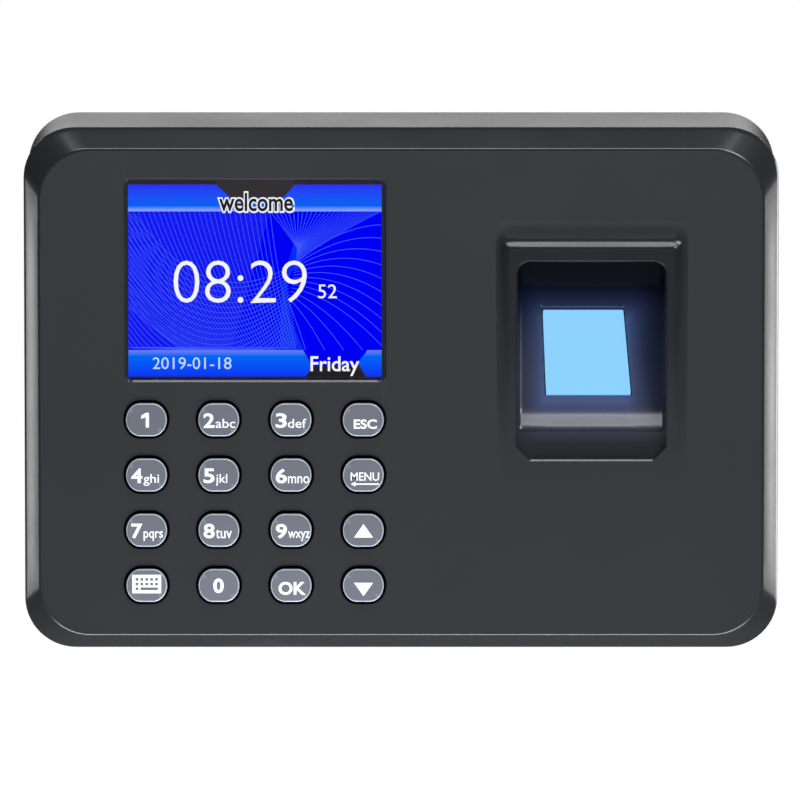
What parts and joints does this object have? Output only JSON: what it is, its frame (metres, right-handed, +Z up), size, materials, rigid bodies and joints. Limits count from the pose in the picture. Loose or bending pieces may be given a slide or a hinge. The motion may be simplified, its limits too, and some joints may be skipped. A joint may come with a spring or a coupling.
{
  "type": "fingerprint scanner terminal",
  "caption": "Wall-hung fingerprint terminal with a colour display, a numbered keypad and a hooded finger well with a lit glass sensor.",
  "frame": {"origin": "centre of the flat back face that lies against the wall", "axes": "+X to the viewer's right, +Y into the wall, so the front faces -Y, and +Z up"},
  "size_m": [0.185, 0.0348, 0.13],
  "materials": {
    "cover_plastic": "fine textured charcoal moulding",
    "shell_plastic": "satin charcoal moulding",
    "key_plastic": "satin grey-blue caps with white legends",
    "display_lens": "clear flat window",
    "lcd_glass": "colour display panel, lit blue",
    "gasket_foam": "black foam",
    "bare_steel": "tinned and plated sheet",
    "flex_film": "amber flexible circuit",
    "keypad_rubber": "black silicone",
    "circuit_board": "green solder mask",
    "chip_black": "moulded chip body",
    "black_plastic": "plain black moulding",
    "white_plastic": "plain white insulator",
    "pin_brass": "plated contact",
    "speaker_cone": "dark pressed paper",
    "well_plastic": "charcoal moulding lit blue by the sensor",
    "sensor_glass": "thick glass lit evenly pale blue",
    "led_blue": "clear lamp body",
    "cable_jacket": "grey jacket",
    "screw_steel": "zinc plated",
    "label_paper": "pale blank sticker"
  },
  "bodies": {
    "case": {"front_cover": "cover_plastic", "rear_shell": "shell_plastic", "rating_label": "label_paper", "display_lens": "display_lens", "lcd_gasket": "gasket_foam", "lcd_glass": "lcd_glass", "lcd_frame": "bare_steel", "lcd_ribbon": "flex_film", "keypad_mat": "keypad_rubber", "main_board": "circuit_board", "processor_chip": "chip_black", "memory_chip": "chip_black", "cell_holder": "black_plastic", "coin_cell": "bare_steel", "usb_shell": "bare_steel", "usb_tongue": "white_plastic", "dc_jack": "black_plastic", "dc_pin": "pin_brass", "speaker_frame": "black_plastic", "speaker_cone": "speaker_cone", "finger_well": "well_plastic", "sensor_glass": "sensor_glass", "sensor_box": "black_plastic", "sensor_board": "circuit_board", "sensor_camera": "black_plastic", "sensor_led_left": "led_blue", "sensor_led_right": "led_blue", "sensor_cable": "cable_jacket", "case_screw_1": "screw_steel", "board_screw_1": "screw_steel", "case_screw_2": "screw_steel", "board_screw_2": "screw_steel", "case_screw_3": "screw_steel", "board_screw_3": "screw_steel", "case_screw_4": "screw_steel", "board_screw_4": "screw_steel", "well_screw_1": "screw_steel", "well_screw_2": "screw_steel"},
    "key_1_cap": {"key_1": "key_plastic"},
    "key_2_cap": {"key_2": "key_plastic"},
    "key_3_cap": {"key_3": "key_plastic"},
    "key_esc_cap": {"key_esc": "key_plastic"},
    "key_4_cap": {"key_4": "key_plastic"},
    "key_5_cap": {"key_5": "key_plastic"},
    "key_6_cap": {"key_6": "key_plastic"},
    "key_menu_cap": {"key_menu": "key_plastic"},
    "key_7_cap": {"key_7": "key_plastic"},
    "key_8_cap": {"key_8": "key_plastic"},
    "key_9_cap": {"key_9": "key_plastic"},
    "key_up_cap": {"key_up": "key_plastic"},
    "key_keyboard_cap": {"key_keyboard": "key_plastic"},
    "key_0_cap": {"key_0": "key_plastic"},
    "key_ok_cap": {"key_ok": "key_plastic"},
    "key_down_cap": {"key_down": "key_plastic"}
  },
  "joints": [
    {"name": "press_1", "type": "slide", "parent": "case", "child": "key_1_cap", "axis": [0, 1, 0], "range_m": [0, 0.0012], "stiffness_N_per_m": 900, "springref_m": -0.0004},
    {"name": "press_2", "type": "slide", "parent": "case", "child": "key_2_cap", "axis": [0, 1, 0], "range_m": [0, 0.0012], "stiffness_N_per_m": 900, "springref_m": -0.0004},
    {"name": "press_3", "type": "slide", "parent": "case", "child": "key_3_cap", "axis": [0, 1, 0], "range_m": [0, 0.0012], "stiffness_N_per_m": 900, "springref_m": -0.0004},
    {"name": "press_esc", "type": "slide", "parent": "case", "child": "key_esc_cap", "axis": [0, 1, 0], "range_m": [0, 0.0012], "stiffness_N_per_m": 900, "springref_m": -0.0004},
    {"name": "press_4", "type": "slide", "parent": "case", "child": "key_4_cap", "axis": [0, 1, 0], "range_m": [0, 0.0012], "stiffness_N_per_m": 900, "springref_m": -0.0004},
    {"name": "press_5", "type": "slide", "parent": "case", "child": "key_5_cap", "axis": [0, 1, 0], "range_m": [0, 0.0012], "stiffness_N_per_m": 900, "springref_m": -0.0004},
    {"name": "press_6", "type": "slide", "parent": "case", "child": "key_6_cap", "axis": [0, 1, 0], "range_m": [0, 0.0012], "stiffness_N_per_m": 900, "springref_m": -0.0004},
    {"name": "press_menu", "type": "slide", "parent": "case", "child": "key_menu_cap", "axis": [0, 1, 0], "range_m": [0, 0.0012], "stiffness_N_per_m": 900, "springref_m": -0.0004},
    {"name": "press_7", "type": "slide", "parent": "case", "child": "key_7_cap", "axis": [0, 1, 0], "range_m": [0, 0.0012], "stiffness_N_per_m": 900, "springref_m": -0.0004},
    {"name": "press_8", "type": "slide", "parent": "case", "child": "key_8_cap", "axis": [0, 1, 0], "range_m": [0, 0.0012], "stiffness_N_per_m": 900, "springref_m": -0.0004},
    {"name": "press_9", "type": "slide", "parent": "case", "child": "key_9_cap", "axis": [0, 1, 0], "range_m": [0, 0.0012], "stiffness_N_per_m": 900, "springref_m": -0.0004},
    {"name": "press_up", "type": "slide", "parent": "case", "child": "key_up_cap", "axis": [0, 1, 0], "range_m": [0, 0.0012], "stiffness_N_per_m": 900, "springref_m": -0.0004},
    {"name": "press_keyboard", "type": "slide", "parent": "case", "child": "key_keyboard_cap", "axis": [0, 1, 0], "range_m": [0, 0.0012], "stiffness_N_per_m": 900, "springref_m": -0.0004},
    {"name": "press_0", "type": "slide", "parent": "case", "child": "key_0_cap", "axis": [0, 1, 0], "range_m": [0, 0.0012], "stiffness_N_per_m": 900, "springref_m": -0.0004},
    {"name": "press_ok", "type": "slide", "parent": "case", "child": "key_ok_cap", "axis": [0, 1, 0], "range_m": [0, 0.0012], "stiffness_N_per_m": 900, "springref_m": -0.0004},
    {"name": "press_down", "type": "slide", "parent": "case", "child": "key_down_cap", "axis": [0, 1, 0], "range_m": [0, 0.0012], "stiffness_N_per_m": 900, "springref_m": -0.0004}
  ]
}
